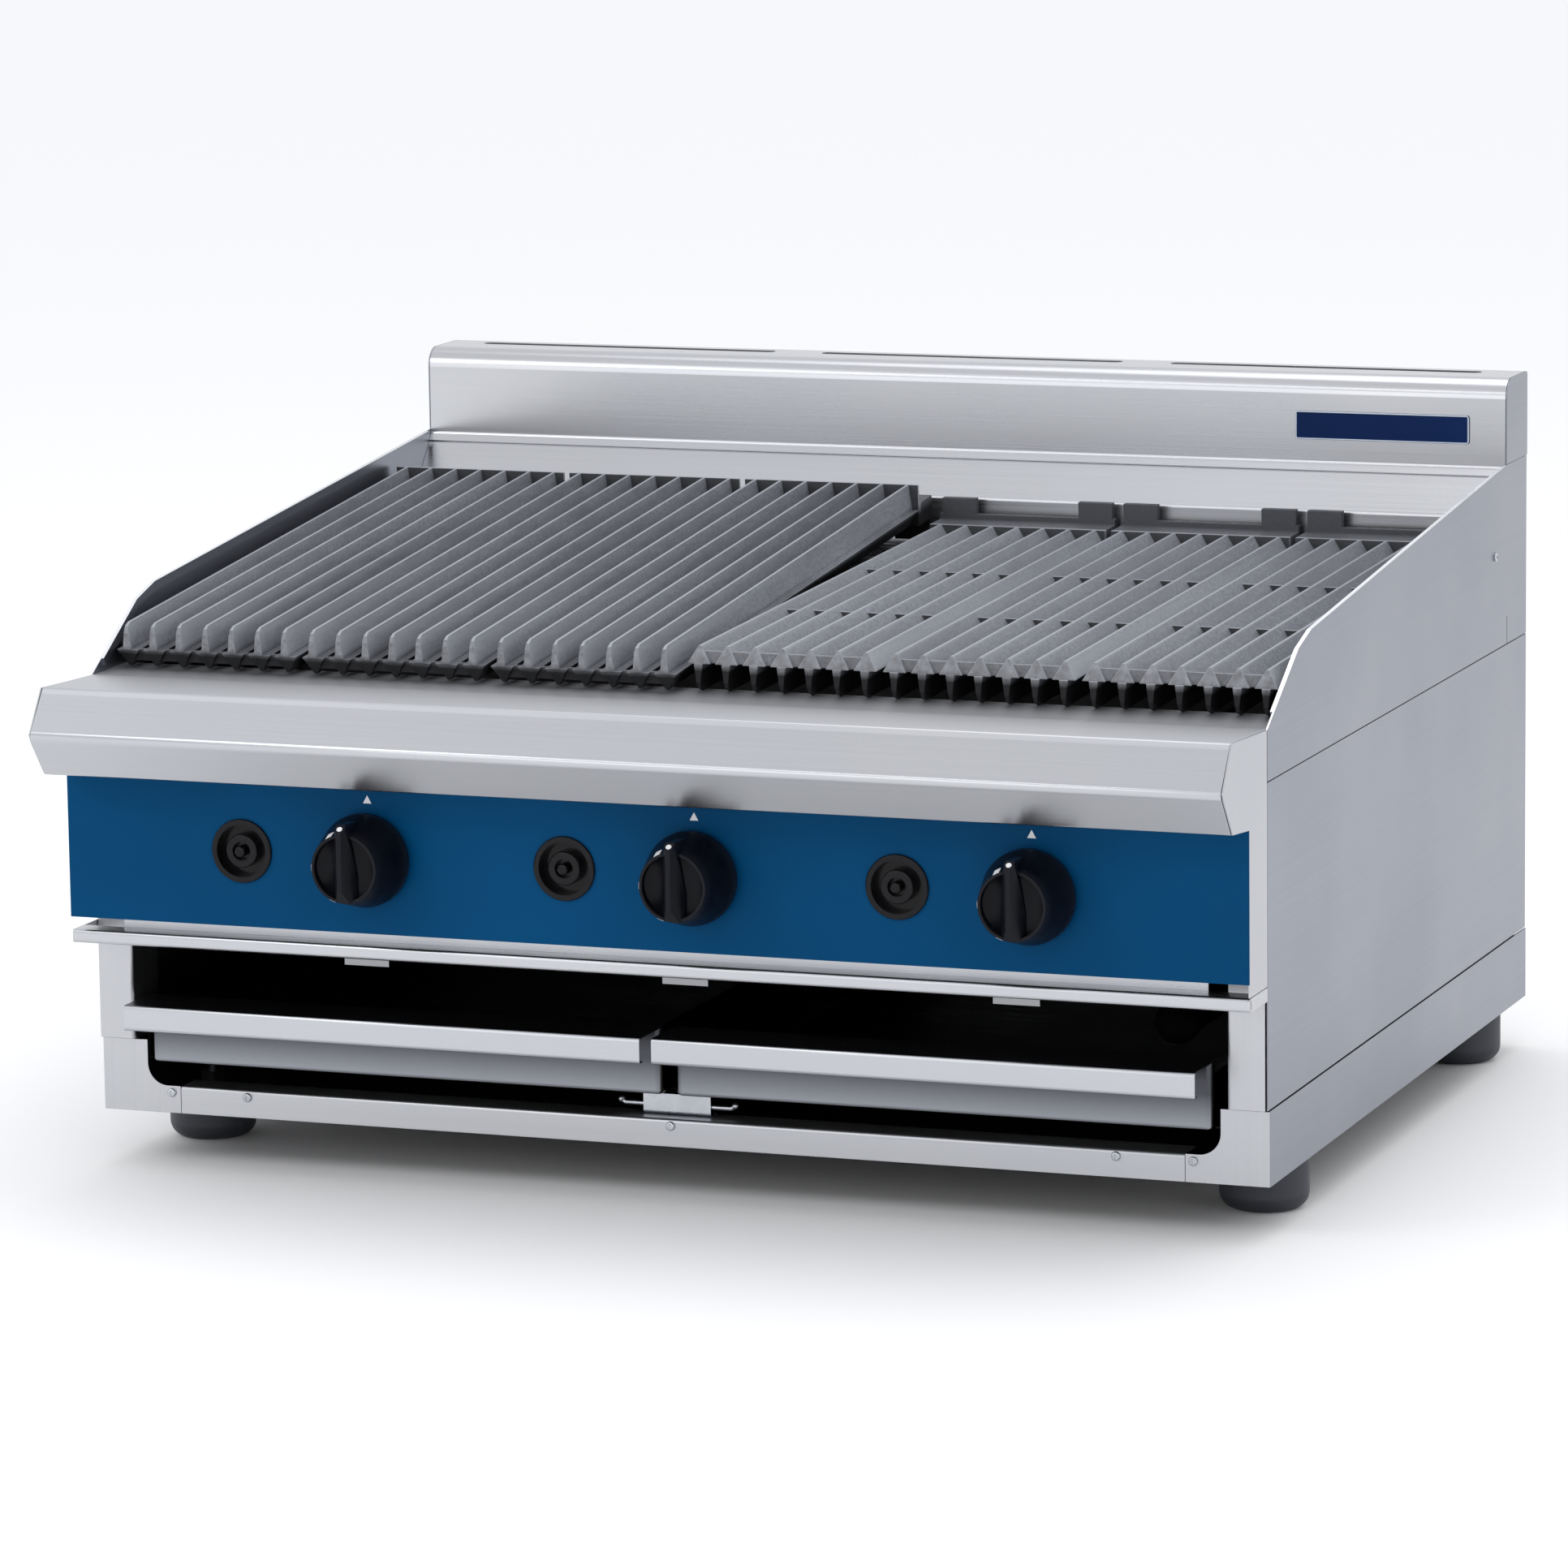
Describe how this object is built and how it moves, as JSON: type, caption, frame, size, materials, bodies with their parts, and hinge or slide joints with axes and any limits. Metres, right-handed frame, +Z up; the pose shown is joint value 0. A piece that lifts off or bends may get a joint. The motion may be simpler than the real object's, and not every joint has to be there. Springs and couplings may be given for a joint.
{
  "type": "charbroiler grill",
  "caption": "Bench-top gas charbroiler: lift-off cast grates over a firebox, turning push knobs, push igniters and sliding drip trays.",
  "frame": {"origin": "centre of the footprint, on the bench under the feet", "axes": "+X to the right seen from the front, +Y from front to back, +Z up"},
  "size_m": [0.9042, 0.812, 0.5347],
  "materials": {
    "stainless": "brushed",
    "tray_steel": "satin",
    "blue_enamel": "semi-gloss",
    "badge_blue": "gloss",
    "dark_steel": "heat-stained",
    "black_pipe": "matt",
    "brass": "machined",
    "zinc_steel": "plated",
    "black_plastic": "gloss",
    "foot_polymer": "matt",
    "cast_grate": "cast"
  },
  "bodies": {
    "cabinet": {"flue_cover": "stainless", "flue_cap_left": "stainless", "flue_cap_right": "stainless", "badge_plate": "badge_blue", "back_plate": "stainless", "rear_panel": "stainless", "wing_left": "stainless", "wing_right": "stainless", "side_panel_left": "stainless", "side_panel_right": "stainless", "base_side_left": "stainless", "base_side_right": "stainless", "base_corner_left": "stainless", "base_corner_right": "stainless", "base_front_strip": "stainless", "base_floor": "stainless", "front_rail": "stainless", "rail_end_left": "stainless", "rail_end_right": "stainless", "control_panel": "blue_enamel", "trim_rail": "stainless", "stile_left": "stainless", "stile_right": "stainless", "tray_stop_bracket": "zinc_steel", "tray_stop_rod": "zinc_steel", "tray_runners": "dark_steel", "firebox_liner": "dark_steel", "burners": "dark_steel", "radiants": "dark_steel", "radiant_rack": "dark_steel", "gas_manifold": "black_pipe", "gas_valves": "brass", "feed_tubes": "dark_steel", "injectors": "brass", "pilot_burners": "dark_steel", "igniter_bezels": "black_plastic", "igniter_bodies": "zinc_steel", "feet": "foot_polymer", "foot_studs": "zinc_steel", "screws": "zinc_steel"},
    "plug_1": {"valve_plug_1": "brass"},
    "knob_1": {"knob_1": "black_plastic", "knob_stem_1": "zinc_steel"},
    "plug_2": {"valve_plug_2": "brass"},
    "knob_2": {"knob_2": "black_plastic", "knob_stem_2": "zinc_steel"},
    "plug_3": {"valve_plug_3": "brass"},
    "knob_3": {"knob_3": "black_plastic", "knob_stem_3": "zinc_steel"},
    "button_1": {"igniter_button_1": "zinc_steel"},
    "button_2": {"igniter_button_2": "zinc_steel"},
    "button_3": {"igniter_button_3": "zinc_steel"},
    "tray_left": {"drip_tray_left": "tray_steel"},
    "tray_right": {"drip_tray_right": "tray_steel"},
    "grate_1": {"grate_1": "cast_grate"},
    "grate_2": {"grate_2": "cast_grate"},
    "grate_3": {"grate_3": "cast_grate"},
    "grate_4": {"grate_4": "cast_grate"},
    "grate_5": {"grate_5": "cast_grate"},
    "grate_6": {"grate_6": "cast_grate"}
  },
  "joints": [
    {"name": "valve_turn_1", "type": "hinge", "parent": "cabinet", "child": "plug_1", "pos_m": [-0.2114, -0.34, 0.2495], "axis": [0, 1, 0], "range_deg": [0, 160]},
    {"name": "knob_push_1", "type": "slide", "parent": "plug_1", "child": "knob_1", "axis": [0, 1, 0], "range_m": [0, 0.004], "stiffness_N_per_m": 800, "springref_m": -0.005},
    {"name": "valve_turn_2", "type": "hinge", "parent": "cabinet", "child": "plug_2", "pos_m": [0.0404, -0.34, 0.2495], "axis": [0, 1, 0], "range_deg": [0, 160]},
    {"name": "knob_push_2", "type": "slide", "parent": "plug_2", "child": "knob_2", "axis": [0, 1, 0], "range_m": [0, 0.004], "stiffness_N_per_m": 800, "springref_m": -0.005},
    {"name": "valve_turn_3", "type": "hinge", "parent": "cabinet", "child": "plug_3", "pos_m": [0.2922, -0.34, 0.2495], "axis": [0, 1, 0], "range_deg": [0, 160]},
    {"name": "knob_push_3", "type": "slide", "parent": "plug_3", "child": "knob_3", "axis": [0, 1, 0], "range_m": [0, 0.004], "stiffness_N_per_m": 800, "springref_m": -0.005},
    {"name": "igniter_push_1", "type": "slide", "parent": "cabinet", "child": "button_1", "axis": [0, 1, 0], "range_m": [0, 0.005], "stiffness_N_per_m": 1500, "springref_m": -0.003},
    {"name": "igniter_push_2", "type": "slide", "parent": "cabinet", "child": "button_2", "axis": [0, 1, 0], "range_m": [0, 0.005], "stiffness_N_per_m": 1500, "springref_m": -0.003},
    {"name": "igniter_push_3", "type": "slide", "parent": "cabinet", "child": "button_3", "axis": [0, 1, 0], "range_m": [0, 0.005], "stiffness_N_per_m": 1500, "springref_m": -0.003},
    {"name": "tray_slide_left", "type": "slide", "parent": "cabinet", "child": "tray_left", "axis": [0, -1, 0], "range_m": [0, 0.5]},
    {"name": "tray_slide_right", "type": "slide", "parent": "cabinet", "child": "tray_right", "axis": [0, -1, 0], "range_m": [0, 0.5]},
    {"name": "grate_lift_1", "type": "slide", "parent": "cabinet", "child": "grate_1", "axis": [0, 0, 1], "range_m": [0, 0.25]},
    {"name": "grate_lift_2", "type": "slide", "parent": "cabinet", "child": "grate_2", "axis": [0, 0, 1], "range_m": [0, 0.25]},
    {"name": "grate_lift_3", "type": "slide", "parent": "cabinet", "child": "grate_3", "axis": [0, 0, 1], "range_m": [0, 0.25]},
    {"name": "grate_lift_4", "type": "slide", "parent": "cabinet", "child": "grate_4", "axis": [0, 0, 1], "range_m": [0, 0.25]},
    {"name": "grate_lift_5", "type": "slide", "parent": "cabinet", "child": "grate_5", "axis": [0, 0, 1], "range_m": [0, 0.25]},
    {"name": "grate_lift_6", "type": "slide", "parent": "cabinet", "child": "grate_6", "axis": [0, 0, 1], "range_m": [0, 0.25]}
  ]
}
